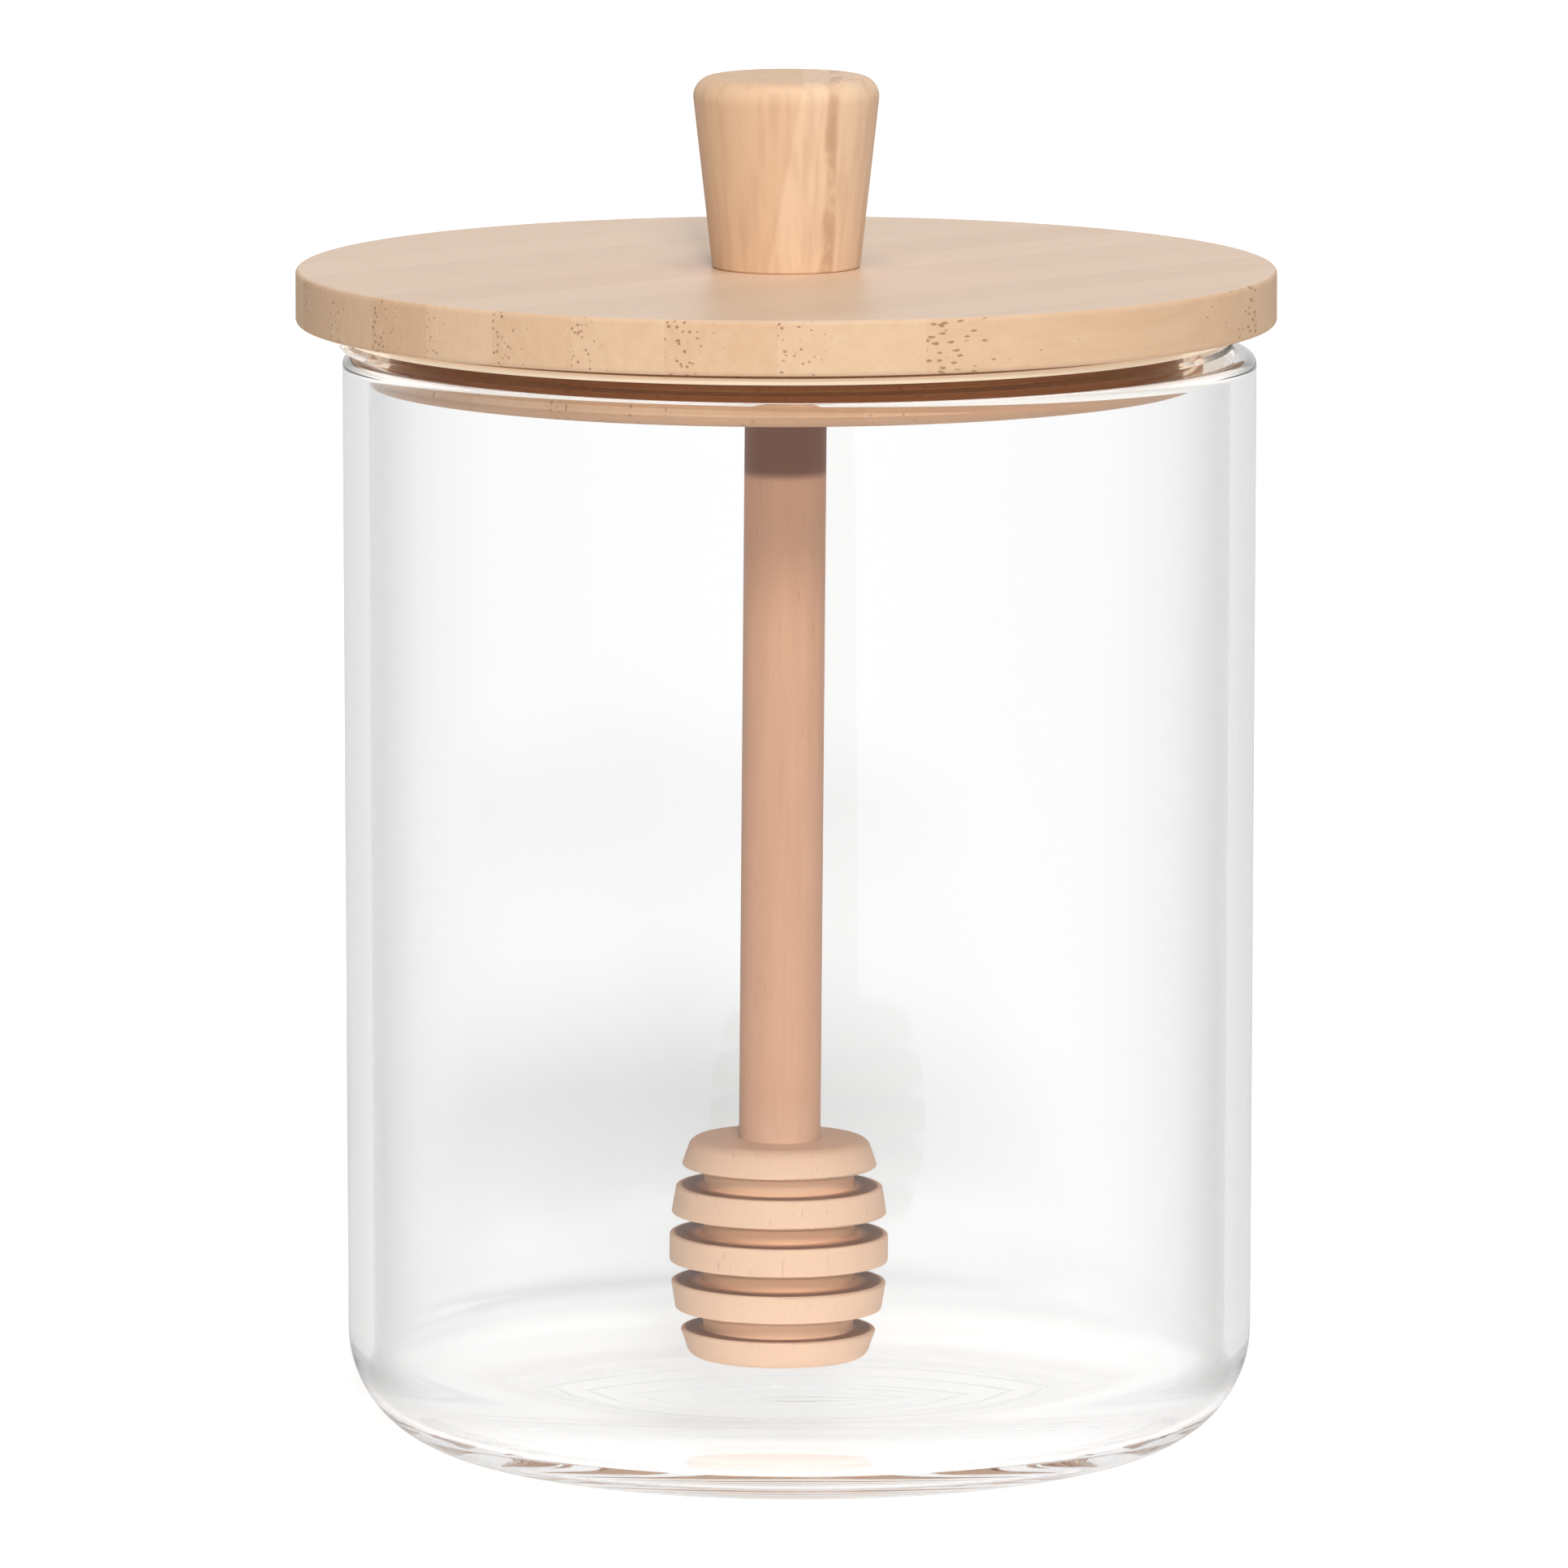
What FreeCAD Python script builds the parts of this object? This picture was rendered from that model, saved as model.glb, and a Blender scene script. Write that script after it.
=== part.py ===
import FreeCAD, Part
import math
import os

# Honey jar: a clear glass jar, a one-piece bamboo lid with a turned knob and a silicone
# seal, and a honey dipper that hangs from the lid. Millimetres, +Z up. The origin lies on
# the standing plane, on the axis that the lid, the knob and the seal share. The lid is
# pushed to one side of the mouth, so the jar's own axis stands a little to +X of it.

# Glass jar
jar_r = 50.1            # outer radius at the rim
jar_draft = 0.3         # how much narrower the wall is where it meets the heel
jar_h = 120.8           # standing plane to rim
jar_wall = 2.8          # thickness of the wall
rim_round = 1.2         # rounding of the rim's two edges, at most 0.45 of the wall
heel_round = 13.0       # outer rounding from wall to base
floor_t = 3.3           # glass under the flat inner floor
inner_round = 7.0       # inner rounding from wall to floor
stand_w = 3.4           # width of the flat ring that the jar stands on
kick_h = 1.0            # depth of the hollow inside that ring

# Lid: a plate with a smaller plug below it, turned from one board
plate_overhang = 3.65   # plate's edge beyond the jar's rim, if the two were centred
plate_t = 6.0
plate_ease = 0.55       # rounding of the plate's edges
lid_lift = 3.4          # rim to the plate's underside
plug_play = 1.6         # radial room between plug and mouth, if the two were centred
plug_lip = 1.3          # height of the plug below its groove
plug_ease = 1.0         # rounding of the plug's lower edge
plug_side_gap = 0.15    # plug to glass on the side that the lid is pushed to

# Groove round the plug, and the silicone seal in it
groove_drop = 0.7       # plate's underside to the groove
groove_w = 4.3
groove_d = 2.2
seal_fit = 0.1          # clearance between the seal and the groove or the glass
band_t = 1.6            # thickness of the band that lies in the groove
fin_spare = 0.25        # how much wider the fins are than the widest gap to the glass
fin_t = 0.68
fin_foot = 0.47         # band below the lowest fin
fin_shares = (0, 0.4, 1)    # where the fins lie between the highest and the lowest one

# Knob, with a tenon glued into the plate
knob_foot_r = 8.1
knob_top_r = 10.45
knob_h = 21.0
knob_round = 2.2        # rounding of the top edge
knob_foot_ease = 0.3
tenon_r = 3.5
tenon_len = 3.4
glue_gap = 0.1          # clearance all round a glued tenon or stick

# Dipper: a stick with a barrel-shaped head of rings, turned from one piece
stick_r = 4.5
stick_socket = 5.8      # depth of the blind hole in the plug that holds the stick
lean_deg = 0.48         # the dipper hangs this much out of plumb, towards -X
head_clear = 6.2        # inner floor to the head's lower end, before the lean
ring_count = 5
ring_t = 3.1
ring_gap = 2.2
head_r = 12.1           # largest radius of the barrel
barrel_bow = 32.5       # radius of the barrel's side seen from the side
ring_d = 3.8            # depth of the grooves between the rings, from the largest radius
ring_ease = 0.22        # rounding of the rings' edges
crown_round = 1.3       # rounding of the head's upper and lower end

# Worked out from the above
mouth_r = jar_r - jar_wall
low_r = jar_r - jar_draft
plug_r = mouth_r - plug_play
plate_r = jar_r + plate_overhang
jar_x = plug_play - plug_side_gap
plate_low = jar_h + lid_lift
plate_top = plate_low + plate_t
groove_high = plate_low - groove_drop
groove_low = groove_high - groove_w
plug_low = groove_low - plug_lip
head_t = ring_count * ring_t + (ring_count - 1) * ring_gap
head_low = floor_t + head_clear


def at(r, z):
    return FreeCAD.Vector(r, 0, z)


def rounded_corner(before, corner, after, radius):
    """Start, middle and end of the arc that rounds one corner of an outline."""
    to_before = (before - corner).normalize()
    to_after = (after - corner).normalize()
    half = to_before.getAngle(to_after) / 2
    setback = radius / math.tan(half)
    inward = (to_before + to_after).normalize()
    middle = corner + inward * (radius / math.sin(half) - radius)
    return corner + to_before * setback, middle, corner + to_after * setback


def turned(outline):
    """Solid of revolution about Z from a closed outline of (radius, height, rounding)."""
    corners = [at(r, z) for r, z, _ in outline]
    stations = []
    for i, (_, _, rounding) in enumerate(outline):
        if rounding:
            after = corners[(i + 1) % len(corners)]
            stations.append(rounded_corner(corners[i - 1], corners[i], after, rounding))
        else:
            stations.append((corners[i],))
    edges = []
    for i, station in enumerate(stations):
        if len(station) == 3:
            edges.append(Part.Arc(*station).toShape())
        start = station[-1]
        end = stations[(i + 1) % len(stations)][0]
        if start.distanceToPoint(end) > 1e-6:
            edges.append(Part.LineSegment(start, end).toShape())
    face = Part.Face(Part.Wire(edges))
    return face.revolve(FreeCAD.Vector(0, 0, 0), FreeCAD.Vector(0, 0, 1), 360)


def dome(edge_r, edge_z, rise):
    """Ball whose surface passes through a circle and swells by rise above it."""
    ball_r = (edge_r ** 2 + rise ** 2) / (2 * rise)
    return Part.makeSphere(ball_r, FreeCAD.Vector(0, 0, edge_z + rise - ball_r))


def disc(r, z_low, z_high):
    return Part.makeCylinder(r, z_high - z_low, FreeCAD.Vector(0, 0, z_low))


def make_jar():
    rim_edge = min(rim_round, 0.45 * jar_wall)
    neck = jar_h - 2 * rim_edge
    body = turned([
        (0, 0, 0),
        (low_r, 0, heel_round),
        (jar_r, jar_h, rim_edge),
        (mouth_r, jar_h, rim_edge),
        (mouth_r, neck, 0),
        (0, neck, 0),
    ])
    hollow = turned([
        (0, floor_t, 0),
        (low_r - jar_wall, floor_t, inner_round),
        (mouth_r, neck, 0),
        (0, neck, 0),
    ])
    kick = dome(low_r - heel_round - stand_w, 0, kick_h)
    jar = body.cut(hollow).cut(kick)
    jar.translate(FreeCAD.Vector(jar_x, 0, 0))
    return jar


def make_lid():
    groove_r = plug_r - groove_d
    lid = turned([
        (0, plug_low, 0),
        (plug_r, plug_low, plug_ease),
        (plug_r, groove_low, 0),
        (groove_r, groove_low, 0),
        (groove_r, groove_high, 0),
        (plug_r, groove_high, 0),
        (plug_r, plate_low, 0),
        (plate_r, plate_low, plate_ease),
        (plate_r, plate_top, plate_ease),
        (0, plate_top, 0),
    ])
    socket = disc(stick_r + 2 * glue_gap, plug_low, plug_low + stick_socket)
    mortise = disc(tenon_r + glue_gap, plate_top - tenon_len - glue_gap, plate_top)
    return lid.cut(socket).cut(mortise)


def make_seal():
    """Band in the groove with fins that are cut back to the glass where they meet it."""
    band_high = groove_high - seal_fit
    band_low = groove_low + seal_fit
    inner_r = plug_r - groove_d + seal_fit
    outer_r = inner_r + band_t
    fin_r = mouth_r + jar_x + fin_spare
    fin_span = band_high - band_low - fin_t - fin_foot
    outline = [(inner_r, band_low, 0), (inner_r, band_high, 0)]
    for share in fin_shares:
        fin_high = band_high - share * fin_span
        if share:
            outline.append((outer_r, fin_high, 0))
        outline.append((fin_r, fin_high, 0.45 * fin_t))
        outline.append((fin_r, fin_high - fin_t, 0.45 * fin_t))
        outline.append((outer_r, fin_high - fin_t, 0))
    outline.append((outer_r, band_low, 0))
    seal = turned(outline)
    glass = disc(fin_r + 2 * jar_x, 0, jar_h + seal_fit).cut(
        disc(mouth_r - seal_fit, 0, jar_h + seal_fit))
    glass.translate(FreeCAD.Vector(jar_x, 0, 0))
    return seal.cut(glass)


def make_knob():
    return turned([
        (0, plate_top - tenon_len, 0),
        (tenon_r, plate_top - tenon_len, 0),
        (tenon_r, plate_top, 0),
        (knob_foot_r, plate_top, knob_foot_ease),
        (knob_top_r, plate_top + knob_h, knob_round),
        (0, plate_top + knob_h, 0),
    ])


def barrel_r(z):
    """Radius of the head's barrel at height z."""
    middle = head_low + head_t / 2
    return head_r - barrel_bow + math.sqrt(barrel_bow ** 2 - (z - middle) ** 2)


def make_dipper():
    stick_top = plug_low + stick_socket - glue_gap
    head_high = head_low + head_t
    core_r = head_r - ring_d
    outline = [(0, head_low, 0)]
    for i in range(ring_count):
        low = head_low + i * (ring_t + ring_gap)
        high = low + ring_t
        if i:
            outline.append((core_r, low, 0))
        low_round = ring_ease if i else crown_round
        high_round = ring_ease if i < ring_count - 1 else crown_round
        outline.append((barrel_r(low), low, low_round))
        outline.append((barrel_r(high), high, high_round))
        if i < ring_count - 1:
            outline.append((core_r, high, 0))
    outline.append((stick_r, head_high, 0))
    outline.append((stick_r, stick_top, 0))
    outline.append((0, stick_top, 0))
    dipper = turned(outline)
    pivot = FreeCAD.Vector(0, 0, plug_low + stick_socket / 2)
    dipper.rotate(pivot, FreeCAD.Vector(0, 1, 0), lean_deg)
    return dipper


nodes = {
    "jar_glass": make_jar(),
    "lid_bamboo": make_lid(),
    "lid_seal": make_seal(),
    "lid_knob": make_knob(),
    "dipper": make_dipper(),
}

os.makedirs("parts", exist_ok=True)
for name, shape in nodes.items():
    shape.exportStep("parts/" + name + ".step")
    print(name, "valid", shape.isValid(), "solids", len(shape.Solids),
          "volume", round(shape.Volume), "faces", len(shape.Faces))
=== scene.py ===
import math
import bpy
import bmesh
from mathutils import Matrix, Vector


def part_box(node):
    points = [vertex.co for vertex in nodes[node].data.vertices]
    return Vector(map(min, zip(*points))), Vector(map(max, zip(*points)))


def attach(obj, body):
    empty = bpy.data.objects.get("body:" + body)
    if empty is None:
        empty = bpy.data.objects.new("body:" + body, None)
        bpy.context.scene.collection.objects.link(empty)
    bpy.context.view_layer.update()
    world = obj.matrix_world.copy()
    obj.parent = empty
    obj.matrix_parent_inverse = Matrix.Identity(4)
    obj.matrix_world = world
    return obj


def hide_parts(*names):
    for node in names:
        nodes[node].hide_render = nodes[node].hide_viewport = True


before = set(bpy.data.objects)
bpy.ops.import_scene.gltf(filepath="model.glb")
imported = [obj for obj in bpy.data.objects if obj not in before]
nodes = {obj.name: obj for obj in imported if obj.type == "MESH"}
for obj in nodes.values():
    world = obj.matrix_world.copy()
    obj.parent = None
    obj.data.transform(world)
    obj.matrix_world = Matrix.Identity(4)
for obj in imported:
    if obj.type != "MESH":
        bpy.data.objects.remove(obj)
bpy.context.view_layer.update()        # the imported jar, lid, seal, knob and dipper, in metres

scene = bpy.context.scene
print("frame:", ", ".join(sorted(nodes)))


class Wire:
    # an output socket, so that shader maths can be written as plain expressions
    def __init__(self, paint, socket):
        self.paint = paint
        self.socket = socket

    def __add__(self, other):
        return self.paint.maths("ADD", self, other)

    def __sub__(self, other):
        return self.paint.maths("SUBTRACT", self, other)

    def __rsub__(self, other):
        return self.paint.maths("SUBTRACT", other, self)

    def __mul__(self, other):
        return self.paint.maths("MULTIPLY", self, other)

    def __truediv__(self, other):
        return self.paint.maths("DIVIDE", self, other)

    def __rtruediv__(self, other):
        return self.paint.maths("DIVIDE", other, self)

    def __gt__(self, other):
        return self.paint.maths("GREATER_THAN", self, other)

    def __lt__(self, other):
        return self.paint.maths("LESS_THAN", self, other)

    __radd__ = __add__
    __rmul__ = __mul__


class Paint:
    # a new material, or the world that is given, with its node tree emptied first
    def __init__(self, name, owner=None):
        self.owner = owner or bpy.data.materials.new(name)
        self.owner.use_nodes = True
        self.tree = self.owner.node_tree
        self.tree.nodes.clear()

    def node(self, kind, settings=None, sockets=None, out=0):
        made = self.tree.nodes.new(kind)
        for key, value in (settings or {}).items():
            if key == "stops":
                self.setStops(made.color_ramp, value)
            elif key == "between":
                made.color_ramp.interpolation = value
            else:
                setattr(made, key, value)
        for key, value in (sockets or {}).items():
            self.feed(self.find(made.inputs, key), value)
        if out is None:
            return made
        return Wire(self, self.find(made.outputs, out))

    def find(self, sockets, key):
        if isinstance(key, int):
            return sockets[key]
        return next(s for s in sockets if key in (s.identifier, s.name) and s.enabled)

    def feed(self, socket, value):
        if isinstance(value, Wire):
            self.tree.links.new(value.socket, socket)
        elif socket.type == "RGBA" and len(value) == 3:
            socket.default_value = (*value, 1)
        else:
            socket.default_value = value

    def setStops(self, ramp, stops):
        while len(ramp.elements) < len(stops):
            ramp.elements.new(0.5)
        for element, (place, colour) in zip(ramp.elements, stops):
            element.position = place
            element.color = (*colour, 1)

    def maths(self, operation, *values):
        return self.node("ShaderNodeMath", {"operation": operation}, dict(enumerate(values)))

    def mix(self, factor, a, b):
        return self.node("ShaderNodeMix", {"data_type": "RGBA"},
                         {"Factor_Float": factor, "A_Color": a, "B_Color": b}, "Result_Color")

    def ramp(self, factor, stops, between="LINEAR"):
        return self.node("ShaderNodeValToRGB", {"stops": stops, "between": between},
                         {"Fac": factor}, "Color")

    def smooth(self, value, low, high, first=0.0, last=1.0):
        return self.node("ShaderNodeMapRange", {"interpolation_type": "SMOOTHSTEP"},
                         {"Value": value, "From Min": low, "From Max": high,
                          "To Min": first, "To Max": last}, "Result")

    def noise(self, vector, detail=2.0, rough=0.5):
        return self.node("ShaderNodeTexNoise", {},
                         {"Vector": vector, "Scale": 1.0, "Detail": detail, "Roughness": rough}, "Fac")

    def part(self, vector, axis):
        return self.node("ShaderNodeSeparateXYZ", {}, {"Vector": vector}, axis)

    def length(self, vector):
        return self.node("ShaderNodeVectorMath", {"operation": "LENGTH"}, {0: vector}, "Value")

    def stretch(self, vector, scale, shift=(0, 0, 0)):
        return self.node("ShaderNodeMapping", {},
                         {"Vector": vector, "Location": shift, "Scale": scale}, "Vector")

    def mmAt(self, turn=0.0):
        # where on the piece, in millimetres, turned about the vertical
        where = self.node("ShaderNodeTexCoord", out="Object")
        return self.node("ShaderNodeMapping", {},
                         {"Vector": where, "Rotation": (0, 0, math.radians(turn)),
                          "Scale": (1000, 1000, 1000)}, "Vector")

    def fromAxis(self, sideways, depth):
        return self.maths("SQRT", sideways * sideways + depth * depth)

    def upward(self):
        # 1 on level faces that look up, 0 on upright ones
        return self.part(self.node("ShaderNodeNewGeometry", out="Normal"), "Z")

    def ray(self, kind):
        return self.node("ShaderNodeLightPath", out=kind)

    def surface(self, colour, rough, ior, more=None):
        sockets = {"Base Color": colour, "Roughness": rough, "IOR": ior}
        return self.node("ShaderNodeBsdfPrincipled", {}, {**sockets, **(more or {})})

    def choose(self, factor, one, other):
        return self.node("ShaderNodeMixShader", {}, {0: factor, 1: one, 2: other})

    def lampsPass(self, shader, colour):
        # lamps shine through the clear piece, so that it casts only a faint shadow
        through = self.node("ShaderNodeBsdfTransparent", {}, {"Color": colour})
        return self.choose(self.ray("Is Shadow Ray"), shader, through)

    def finish(self, shader, kind="ShaderNodeOutputMaterial"):
        self.node(kind, {}, {"Surface": shader}, None)
        return self.owner


def rgb(red, green, blue):
    # a screen colour, 0 to 255, as the linear one that shaders take
    shares = [v / 255 for v in (red, green, blue)]
    return tuple(s / 12.92 if s <= 0.04045 else ((s + 0.055) / 1.055) ** 2.4 for s in shares)


def newObject(name, data):
    made = bpy.data.objects.new(name, data)
    scene.collection.objects.link(made)
    return made


def newMesh(name, bm):
    mesh = bpy.data.meshes.new(name)
    bm.to_mesh(mesh)
    bm.free()
    return newObject(name, mesh)


def aimAt(thing, place, target):
    thing.location = place
    thing.rotation_euler = (Vector(target) - Vector(place)).to_track_quat("-Z", "Y").to_euler()


camera = {                     # metres, and millimetres for the lens and its film
    "back": 1.810, "height": 0.326, "aim": 0.073, "side": -0.00025,
    "lens": 381.5, "film": 36, "farthest": 100,
}

lens = bpy.data.cameras.new("camera")
lens.sensor_width = camera["film"]
lens.lens = camera["lens"]
lens.clip_end = camera["farthest"]
eye = newObject("camera", lens)
aimAt(eye, (camera["side"], -camera["back"], camera["height"]), (camera["side"], 0, camera["aim"]))
scene.camera = eye
print("camera ready")


studio = {
    "ambient": 0.15,           # what the room gives the object from all round
    "roomBehind": 1.0, "roomInFront": 0.55, "roomTurns": (-0.9, 0.7),   # how bright glass sees the room
    "bounces": 96,             # light turns back many times inside the rim and the base
}
floorTone = {                  # metres
    "radius": 9, "around": 128, "drop": 0.0002, "paint": (0.90, 0.90, 0.90), "seenGlow": 0.52,
    "glassBehind": 0.38, "glassInFront": 0.15, "glassTurns": (-0.35, 0.12),    # the floor seen in glass
    # painted light: the floor under the jar glows brighter in the glass, lifting the shade there
    "glassUnder": 0.35, "underRing": (0.05, 0.12),
    "shade": 0.13, "shadeAt": (-0.015, 0.24), "shadeSize": (0.060, 0.17),      # painted shadow: a soft darker patch behind the jar, seen in the glass
    "glowNear": 0.45, "nearR": 0.16,       # what the floor by the jar throws back on it
}
lamps = {                      # azimuth 0 is the camera's side and grows to the right, degrees
    "key": {"level": 0.33, "azimuth": 3, "height": 14, "spread": 3, "mirrored": False},
    "high": {"level": 0.32, "azimuth": 6, "height": 28, "spread": 12, "mirrored": False},
    "top": {"level": 0.375, "azimuth": 10, "height": 76, "spread": 35, "mirrored": True},
    "fill": {"level": 0.03, "azimuth": 75, "height": 16, "spread": 45, "mirrored": True},
}

scene.cycles.max_bounces = studio["bounces"]
scene.cycles.transmission_bounces = studio["bounces"]
scene.cycles.glossy_bounces = studio["bounces"]
scene.cycles.blur_glossy = 0   # lamps light things in the jar once, straight through the glass

world = bpy.data.worlds.new("studio")
scene.world = world
sky = Paint("studio", world)
unscattered = sky.ray("Diffuse Depth") < 0.5           # light that has met nothing matt on its way
inGlass = sky.maths("MAXIMUM", sky.ray("Is Glossy Ray"), sky.ray("Is Transmission Ray")) * unscattered
way = sky.part(sky.node("ShaderNodeTexCoord", out="Generated"), "Y")
roomTone = sky.smooth(way, *studio["roomTurns"], studio["roomInFront"], studio["roomBehind"])
level = inGlass * (roomTone - studio["ambient"]) + studio["ambient"]
level = level + sky.ray("Is Camera Ray") * (1 - level)
sky.finish(sky.node("ShaderNodeBackground", {}, {"Color": level, "Strength": 1.0}),
           "ShaderNodeOutputWorld")

for name, sun in lamps.items():
    lamp = bpy.data.lights.new(name, "SUN")
    lamp.energy = sun["level"] * math.pi               # lights a white sheet to that level
    lamp.angle = math.radians(sun["spread"])
    made = newObject(name, lamp)
    made.visible_glossy = sun["mirrored"]              # no glare on the lid from low lamps
    turn = math.radians(sun["azimuth"])
    rise = math.radians(sun["height"])
    aimAt(made, (math.sin(turn) * math.cos(rise), -math.cos(turn) * math.cos(rise), math.sin(rise)),
          (0, 0, 0))

bm = bmesh.new()
bmesh.ops.create_circle(bm, cap_ends=True, segments=floorTone["around"], radius=floorTone["radius"])
floor = newMesh("floor", bm)
floor.location.z = -floorTone["drop"]
ground = Paint("floor")
lit = ground.node("ShaderNodeBsdfDiffuse", {}, {"Color": floorTone["paint"]})
here = ground.node("ShaderNodeTexCoord", out="Object")
away = ground.length(here)
unscattered = ground.ray("Diffuse Depth") < 0.5
inGlass = ground.smooth(ground.part(here, "Y"), *floorTone["glassTurns"],
                        floorTone["glassInFront"], floorTone["glassBehind"])
# painted light under the jar
inGlass = inGlass + ground.smooth(away, *floorTone["underRing"], floorTone["glassUnder"], 0.0)
sizeX, sizeY = floorTone["shadeSize"]
shadeX, shadeY = floorTone["shadeAt"]
spot = ground.stretch(here, (1 / sizeX, 1 / sizeY, 1), (-shadeX / sizeX, -shadeY / sizeY, 0))
# painted shadow behind the jar
inGlass = inGlass - ground.smooth(ground.length(spot), 0.0, 1.0, floorTone["shade"], 0.0)
near = ground.smooth(away, 0.0, floorTone["nearR"], floorTone["glowNear"], 0.0)
lift = ground.ray("Is Camera Ray") * floorTone["seenGlow"]
lift = lift + ground.ray("Is Transmission Ray") * inGlass * unscattered
lift = lift + (1 - unscattered) * near
glow = ground.node("ShaderNodeEmission", {}, {"Color": lift, "Strength": 1.0})
floor.data.materials.append(ground.finish(ground.node("ShaderNodeAddShader", {}, {0: lit, 1: glow})))
print("studio ready")


def dress(node, material):
    for slot in nodes[node].material_slots:
        slot.material = material


def arc(centre, radius, start, end, steps):
    # points on a circle from one angle to another, in degrees, in the plane of radius and height
    found = []
    for i in range(steps + 1):
        a = math.radians(start + (end - start) * i / steps)
        found.append((centre[0] + radius * math.cos(a), centre[1] + radius * math.sin(a)))
    return found


def domed(edge, rise, steps, support):
    # a shallow dome from the axis to its edge on the floor, and a ring just outside it
    found = [(edge * i / steps, rise * (1 - (i / steps) ** 2)) for i in range(steps + 1)]
    return found + [(edge + support, 0)]


def wallLine(r, z, endR, endZ):
    # a straight side, with a ring close to each end so that its shading stays straight
    return [(r + (endR - r) * share, z + (endZ - z) * share) for share in (0.001, 0.25, 0.5, 0.75, 0.999)]


def lathe(name, outline, axis, around):
    # turns a closed outline of (radius, height) in millimetres about a vertical axis
    bm = bmesh.new()
    rows = []
    for r, z in outline:
        if r < 1e-6:
            rows.append([bm.verts.new((axis, 0, z / 1000))])
            continue
        ring = []
        for i in range(around):
            a = 2 * math.pi * i / around
            ring.append(bm.verts.new((axis + r / 1000 * math.cos(a), r / 1000 * math.sin(a), z / 1000)))
        rows.append(ring)
    for low, high in zip(rows, rows[1:]):
        for i in range(around):
            j = (i + 1) % around
            face = [low[i % len(low)], low[j % len(low)], high[j % len(high)], high[i % len(high)]]
            bm.faces.new(list(dict.fromkeys(face)))    # three corners where a ring meets the axis
    bmesh.ops.recalc_face_normals(bm, faces=bm.faces)
    made = newMesh(name, bm)
    made.data.polygons.foreach_set("use_smooth", [True] * len(made.data.polygons))
    return made


jarShape = {                   # millimetres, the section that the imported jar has
    "wall": 2.8, "draft": 0.3, "rimRound": 1.2,
    "heel": 13.0, "stand": 3.4, "kick": 1.0, "floor": 3.3, "innerHeel": 7.0,
    "around": 288, "heelSteps": 28, "rimSteps": 10, "kickSteps": 72, "support": 0.05,
}

low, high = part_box("jar_glass")
jarR = (high.x - low.x) * 500
jarTop = high.z * 1000
jarAxis = (high.x + low.x) / 2
footR = jarR - jarShape["draft"]
rim = jarShape["rimRound"]
rimLow = jarTop - rim
heel = jarShape["heel"]
inner = jarShape["innerHeel"]
floorZ = jarShape["floor"]
mouthR = jarR - jarShape["wall"]
insideR = footR - jarShape["wall"]
outline = domed(footR - heel - jarShape["stand"], jarShape["kick"], jarShape["kickSteps"],
                jarShape["support"])
outline += arc((footR - heel, heel), heel, -90, 0, jarShape["heelSteps"])
outline += wallLine(footR, heel, jarR, rimLow)
outline += arc((jarR - rim, rimLow), rim, 0, 90, jarShape["rimSteps"])
outline += arc((mouthR + rim, rimLow), rim, 90, 180, jarShape["rimSteps"])
outline += wallLine(mouthR, rimLow, insideR, floorZ + inner)
outline += arc((insideR - inner, floorZ + inner), inner, 0, -90, jarShape["heelSteps"])
outline += [((insideR - inner) * (1 - share), floorZ) for share in (0.003, 0.3, 0.7, 1)]
jar = lathe("jar", outline, jarAxis, jarShape["around"])
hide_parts("jar_glass")
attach(jar, "root")

glass = {
    "ior": 1.48, "shade": (0.88, 0.88, 0.88), "cast": (0.996, 1.0, 0.998),
    # how much light a wall passes, from square on to edge on
    "slant": [(0, 0.99), (0.25, 0.965), (0.42, 0.905), (0.55, 0.83), (0.65, 0.69), (0.76, 0.60)],
    "heelTint": (0.975, 0.975, 0.975), "heelFrom": 13.0, "heelTo": 4.0, "heelShare": 0.5,
    # painted reflection: the rim tinted warm, standing in for the wooden lid seen in it
    "rimPaintedWarmth": (0.95, 0.88, 0.80), "rimBlend": 0.2,
}

p = Paint("clearGlass")
facing = p.node("ShaderNodeLayerWeight", {}, {"Blend": 0.5}, "Facing")
stops = [(place, tuple(passed * c for c in glass["cast"])) for place, passed in glass["slant"]]
tint = p.ramp(facing, stops)
height = p.part(p.mmAt(), "Z")
lowDown = p.smooth(height, glass["heelFrom"], glass["heelTo"])
tint = p.mix(lowDown * glass["heelShare"], tint, glass["heelTint"])
# painted reflection of the lid in the rim
tint = p.mix(p.smooth(height, rimLow, rimLow + glass["rimBlend"]), tint, glass["rimPaintedWarmth"])
clear = p.surface(tint, 0.0, glass["ior"], {"Transmission Weight": 1.0})
jar.data.materials.append(p.finish(p.lampsPass(clear, glass["shade"])))
print("jar ready")


silicone = {                   # drawn almost without refraction, so that its fins stay clear
    "tint": (0.93, 0.86, 0.78), "rough": 0.04, "ior": 1.02,
    "coat": 0.22, "coatIor": 1.41, "coatRough": 0.08,
    # its milky lips, by radius and height in millimetres
    "milk": rgb(255, 236, 208), "milkRough": 0.3, "milkShare": 0.75,
    "milkFrom": 48.0, "milkTo": 48.8, "milkAbove": 122.3,
    "paintedGlow": 0.45,            # painted glow: the lips give off light of their own, standing in for light they catch
}

p = Paint("clearSilicone")
at = p.mmAt()
radius = p.fromAxis(p.part(at, "X"), p.part(at, "Y"))
clear = p.surface(silicone["tint"], silicone["rough"], silicone["ior"],
                  {"Transmission Weight": 1.0, "Coat Weight": silicone["coat"],
                   "Coat IOR": silicone["coatIor"], "Coat Roughness": silicone["coatRough"]})
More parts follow.
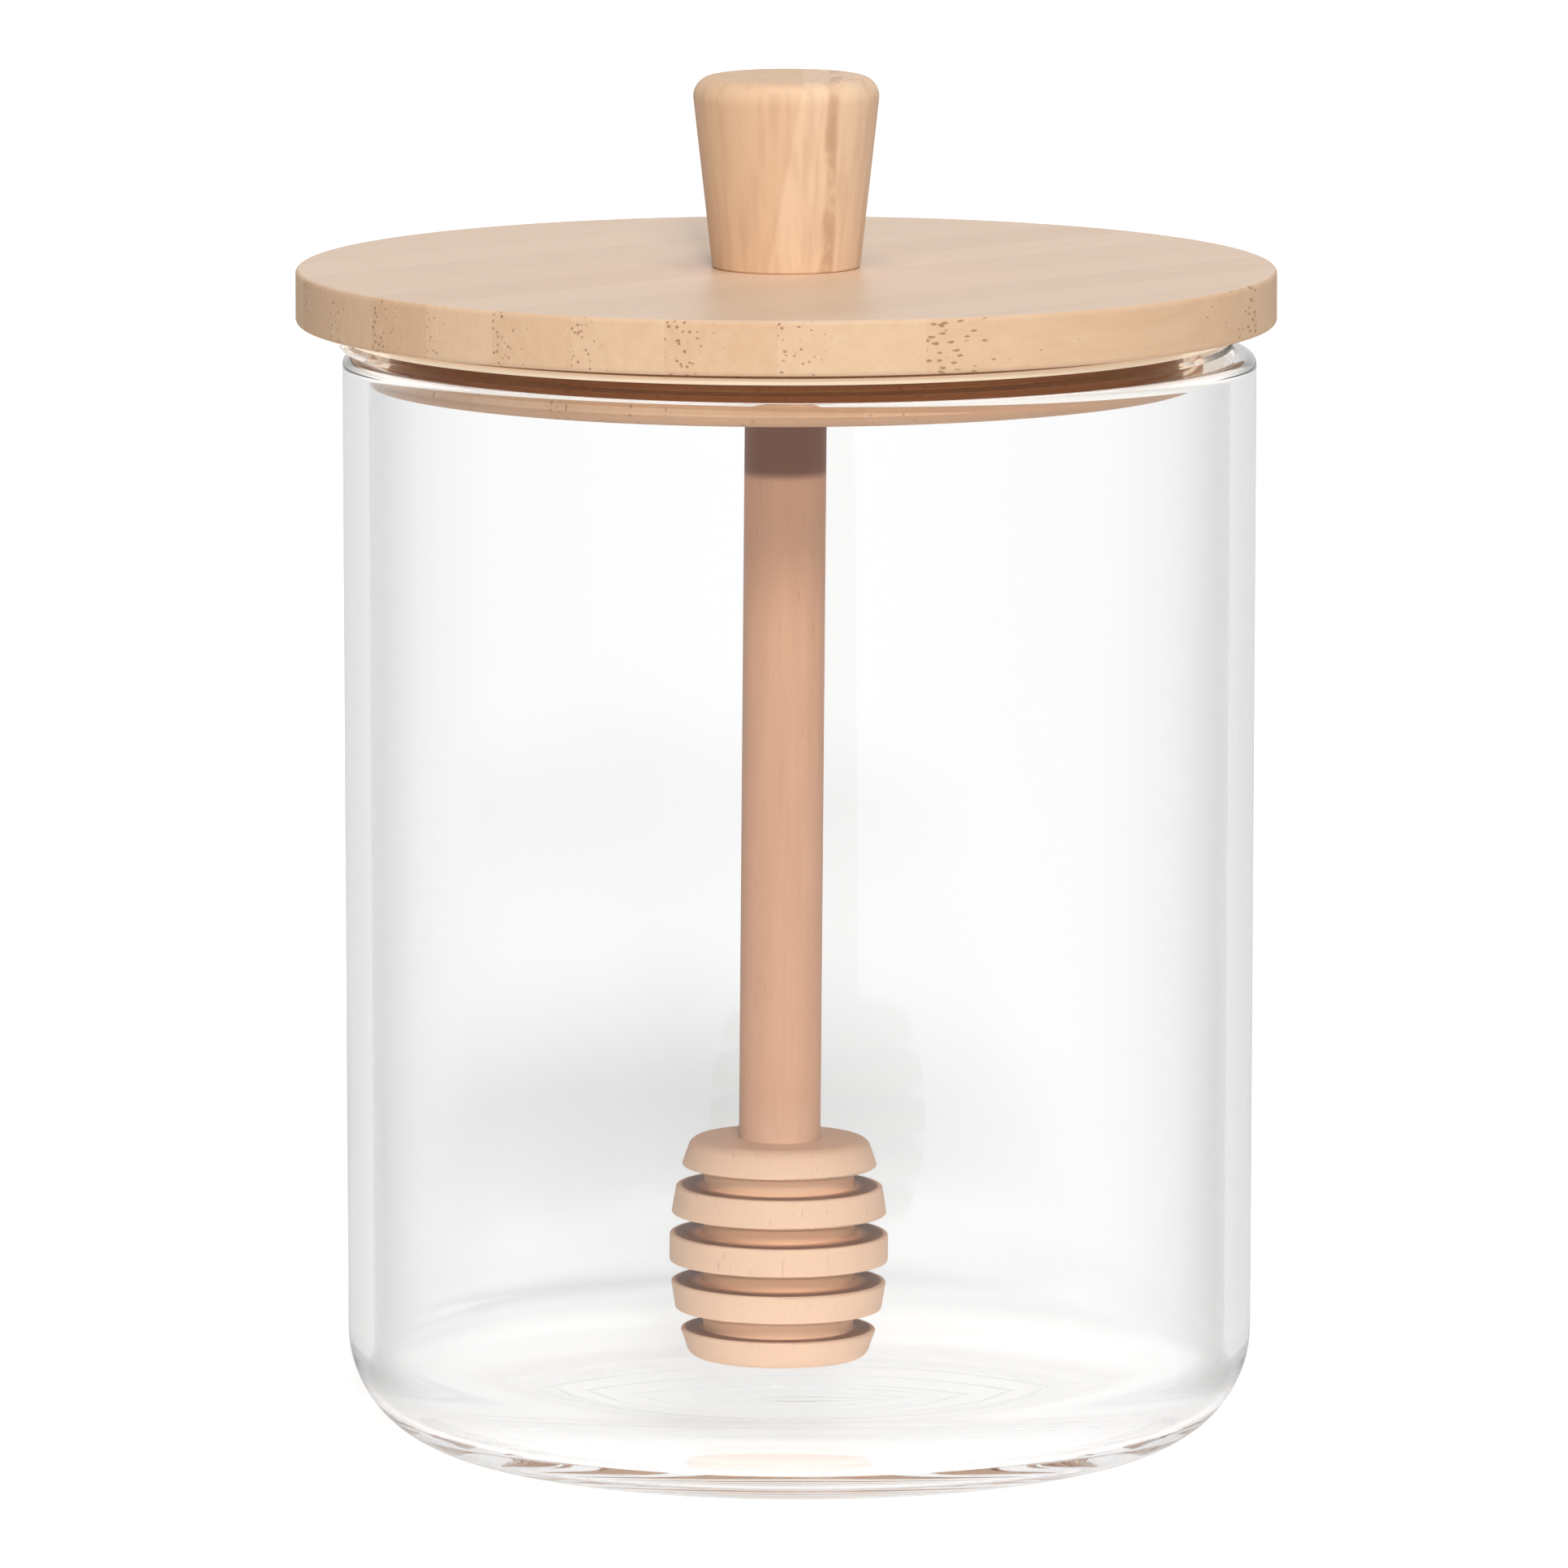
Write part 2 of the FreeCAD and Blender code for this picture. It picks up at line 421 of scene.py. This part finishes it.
# the milky lip surface, which also glows: a painted highlight along the lips' edges
milky = p.surface(silicone["milk"], silicone["milkRough"], silicone["coatIor"],
                  {"Emission Color": silicone["milk"], "Emission Strength": silicone["paintedGlow"]})
lip = p.smooth(radius, silicone["milkFrom"], silicone["milkTo"])
lip = lip * (p.part(at, "Z") > silicone["milkAbove"])
body = p.choose(lip * silicone["milkShare"], clear, milky)
dress("lid_seal", p.finish(p.lampsPass(body, silicone["tint"])))
print("seal ready")


board = {                      # strips of bamboo glued side by side
    "grain": 44, "strip": 9.5,                         # degrees from +X, millimetres
    "pale": rgb(236, 203, 170), "dark": rgb(216, 174, 136),
    "tones": [0.5, 0.35, 0.6, 0.4, 0.55, 0.3, 0.7, 0.45, 0.55, 0.3, 0.5, 0.6],    # strip by strip
    "stripShare": 0.9, "streakShare": 0.75, "fineShare": 0.25, "paler": 0.42,
    "streak": (0.02, 0.9, 0.5), "fine": (0.05, 4.0, 3.0),
    # end-grain dots, denser at one side of each strip
    "fibre": rgb(136, 90, 60), "fibreEvery": 0.62, "fibreR": 0.13, "fibreAlong": 0.06,
    "fibreOnSide": 0.7, "fibreOnTop": 0.12,
    "leanOnTone": 0.6, "crowd": (0.6, 1.3, 0.2, 1.45),
    "ragged": (0.5, 3.5, 3.5), "raggedBy": 1.6, "fibreEdge": (1.25, 0.45),
    "paintedSheen": rgb(250, 234, 219), "paintedSheenShare": 0.22,     # painted sheen: the top made paler, standing in for the white it reflects
    "grooveShade": rgb(128, 80, 48), "grooveShadeShare": 0.8, "grooveR": 44.6,     # painted shade in the groove behind the seal, under the board's overhang
    "lipDarker": rgb(186, 128, 86), "lipDarkerShare": 0.45, "lipTop": 119.0,         # the plug's lip, darker and warmer below lipTop
    "roughTop": 0.4, "roughSide": 0.7, "ior": 1.45,
    "topTurns": (0.6, 0.95), "upTo": 0.9,              # how far a face looks up, from 0 to 1
}

p = Paint("bambooBoard")
at = p.mmAt(-board["grain"])                           # X along the grain, Y across it
along = p.part(at, "X")
across = p.part(at, "Y")
height = p.part(at, "Z")
upward = p.upward()
onTop = p.smooth(upward, *board["topTurns"])

place = across / board["strip"]
strip = p.maths("FLOOR", place)
inStrip = place - strip
strips = len(board["tones"])
tones = [((i + 0.01) / strips, (tone,) * 3) for i, tone in enumerate(board["tones"])]
stripTone = p.ramp((strip + (strips + 1) / 2) / strips, tones, "CONSTANT")
streaks = p.noise(p.stretch(at, board["streak"]), 4.0, 0.6)
fine = p.noise(p.stretch(at, board["fine"]))
tone = stripTone * board["stripShare"] + streaks * board["streakShare"] + fine * board["fineShare"]
wood = p.mix(tone - board["paler"], board["pale"], board["dark"])

dotted = p.stretch(at, (board["fibreAlong"], 1 / board["fibreEvery"], 1 / board["fibreEvery"]))
dots = p.node("ShaderNodeTexVoronoi", {"feature": "F1"}, {"Vector": dotted, "Scale": 1.0}, "Distance")
dotR = p.smooth(inStrip + stripTone * board["leanOnTone"], *board["crowd"])
dotR = dotR * (board["fibreR"] / board["fibreEvery"])
ragged = p.noise(p.stretch(at, board["ragged"])) - 0.5
fibres = p.smooth(dots / dotR + ragged * board["raggedBy"], *board["fibreEdge"])
fibres = fibres * (board["fibreOnSide"] - onTop * (board["fibreOnSide"] - board["fibreOnTop"]))
wood = p.mix(fibres, wood, board["fibre"])

# painted sheen on the top faces
wood = p.mix(onTop * board["paintedSheenShare"], wood, board["paintedSheen"])
# painted shade: the plug's groove above the lip, darkened where the board's overhang shades it
grooveShade = (p.fromAxis(along, across) < board["grooveR"]) * (upward < board["upTo"])
grooveShade = grooveShade * (height > board["lipTop"])
wood = p.mix(grooveShade * board["grooveShadeShare"], wood, board["grooveShade"])
wood = p.mix((height < board["lipTop"]) * board["lipDarkerShare"], wood, board["lipDarker"])
rough = board["roughSide"] + onTop * (board["roughTop"] - board["roughSide"])
dress("lid_bamboo", p.finish(p.surface(wood, rough, board["ior"])))
print("lid ready")


knobWood = {                   # two pieces glued along a slanting joint, then turned
    "left": rgb(233, 194, 158), "right": rgb(241, 206, 172), "mark": rgb(198, 154, 120),
    "joint": 1.9, "tilt": 0.19, "jointEdge": (-0.25, 0.3),     # millimetres at the top, and per millimetre
    "wavy": (0.2, 0.2, 0.08), "jointWave": 0.8,
    "streak": (0.8, 0.8, 0.05), "streakEdge": (0.4, 0.75), "streakShare": 0.35,
    # a darker vein right of the joint
    "vein": 5.4, "veinTilt": 0.06, "veinWave": 1.4, "veinWide": 0.9, "veinShare": 0.7,
    "patchy": (0.3, 0.3, 0.25), "patchEdge": (0.4, 0.62),
    "rough": 0.5, "ior": 1.45,
}

p = Paint("knobWood")
at = p.mmAt()
sideways = p.part(at, "X")
belowTop = p.part(at, "Z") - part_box("lid_knob")[1].z * 1000
wave = p.noise(p.stretch(at, knobWood["wavy"])) - 0.5
joint = sideways - belowTop * knobWood["tilt"] - knobWood["joint"] + wave * knobWood["jointWave"]
wood = p.mix(p.smooth(joint, *knobWood["jointEdge"]), knobWood["left"], knobWood["right"])
streaks = p.noise(p.stretch(at, knobWood["streak"]), 3.0)
marks = p.smooth(streaks, *knobWood["streakEdge"])
wood = p.mix(marks * knobWood["streakShare"], wood, knobWood["mark"])
fromVein = sideways - belowTop * knobWood["veinTilt"] + wave * knobWood["veinWave"] - knobWood["vein"]
patchy = p.noise(p.stretch(at, knobWood["patchy"]), 3.0)
vein = p.smooth(fromVein * fromVein, knobWood["veinWide"], 0.0) * p.smooth(patchy, *knobWood["patchEdge"])
wood = p.mix(vein * knobWood["veinShare"], wood, knobWood["mark"])
dress("lid_knob", p.finish(p.surface(wood, knobWood["rough"], knobWood["ior"])))
print("knob ready")


dipperWood = {
    "pale": rgb(217, 172, 140), "dark": rgb(201, 152, 121),
    "streak": (0.9, 0.9, 0.05),
    "headPale": rgb(240, 207, 178), "headShare": 0.75, "headBelow": (40.0, 30.0),
    "fleck": rgb(170, 120, 92), "fleckSize": (3.2, 3.2, 0.5), "fleckEdge": (0.62, 0.78), "fleckShare": 0.4,
    # painted shadow of the lid on the top of the stick
    "lidShadow": rgb(118, 64, 32), "lidShadowShare": 0.9, "lidShadowFrom": 107.0, "lidShadowTo": 108.2,
    # painted light on the grooves' bottoms, and painted shade on the rings' upper faces
    "groove": rgb(248, 206, 168), "grooveShare": 0.8, "grooveIn": (0.8, 2.6),
    "ringShade": rgb(112, 66, 38), "ringShadeShare": 0.9, "ringShadeOut": (0.25, 0.8), "ringShadeIn": (3.4, 1.8),
    "ringsLow": 10.4, "ringsHigh": 32.8, "upFrom": 0.9,
    "barrel": 12.1, "bow": 32.5, "middle": 21.65,      # the head's largest radius, side and height
    "lean": 0.48, "pivot": 120.8,                      # degrees, and the height it hangs from
    "rough": 0.55, "ior": 1.45, "gloss": 0.2,
}

p = Paint("dipperWood")
at = p.mmAt()
height = p.part(at, "Z")
lean = math.tan(math.radians(dipperWood["lean"]))
radius = p.fromAxis(p.part(at, "X") + (dipperWood["pivot"] - height) * lean, p.part(at, "Y"))
streaks = p.noise(p.stretch(at, dipperWood["streak"]), 4.0, 0.6)
wood = p.mix(streaks, dipperWood["pale"], dipperWood["dark"])
wood = p.mix(p.smooth(height, *dipperWood["headBelow"]) * dipperWood["headShare"], wood,
             dipperWood["headPale"])
flecks = p.noise(p.stretch(at, dipperWood["fleckSize"]))
wood = p.mix(p.smooth(flecks, *dipperWood["fleckEdge"]) * dipperWood["fleckShare"], wood,
             dipperWood["fleck"])
# painted shadow: the lid's shade on the stick's top
lidShadow = p.smooth(height, dipperWood["lidShadowFrom"], dipperWood["lidShadowTo"])
wood = p.mix(lidShadow * dipperWood["lidShadowShare"], wood, dipperWood["lidShadow"])

inHead = (height < dipperWood["ringsHigh"]) * (height > dipperWood["ringsLow"])
rise = height - dipperWood["middle"]
swell = p.maths("SQRT", dipperWood["bow"] ** 2 - rise * rise)
inset = swell - dipperWood["bow"] + dipperWood["barrel"] - radius      # how far below the barrel's side
# painted light: the groove bottoms paler than the wood around them
groove = p.smooth(inset, *dipperWood["grooveIn"])
wood = p.mix(groove * inHead * dipperWood["grooveShare"], wood, dipperWood["groove"])
# painted shade on the rings' upper faces, in the crevices between rings
ringShadeMask = p.smooth(inset, *dipperWood["ringShadeOut"]) * p.smooth(inset, *dipperWood["ringShadeIn"])
ringShadeMask = ringShadeMask * inHead * (p.upward() > dipperWood["upFrom"])
wood = p.mix(ringShadeMask * dipperWood["ringShadeShare"], wood, dipperWood["ringShade"])
dress("dipper", p.finish(p.surface(wood, dipperWood["rough"], dipperWood["ior"],
                                   {"Specular IOR Level": dipperWood["gloss"]})))
print("dipper ready")


scene.view_settings.view_transform = "Standard"
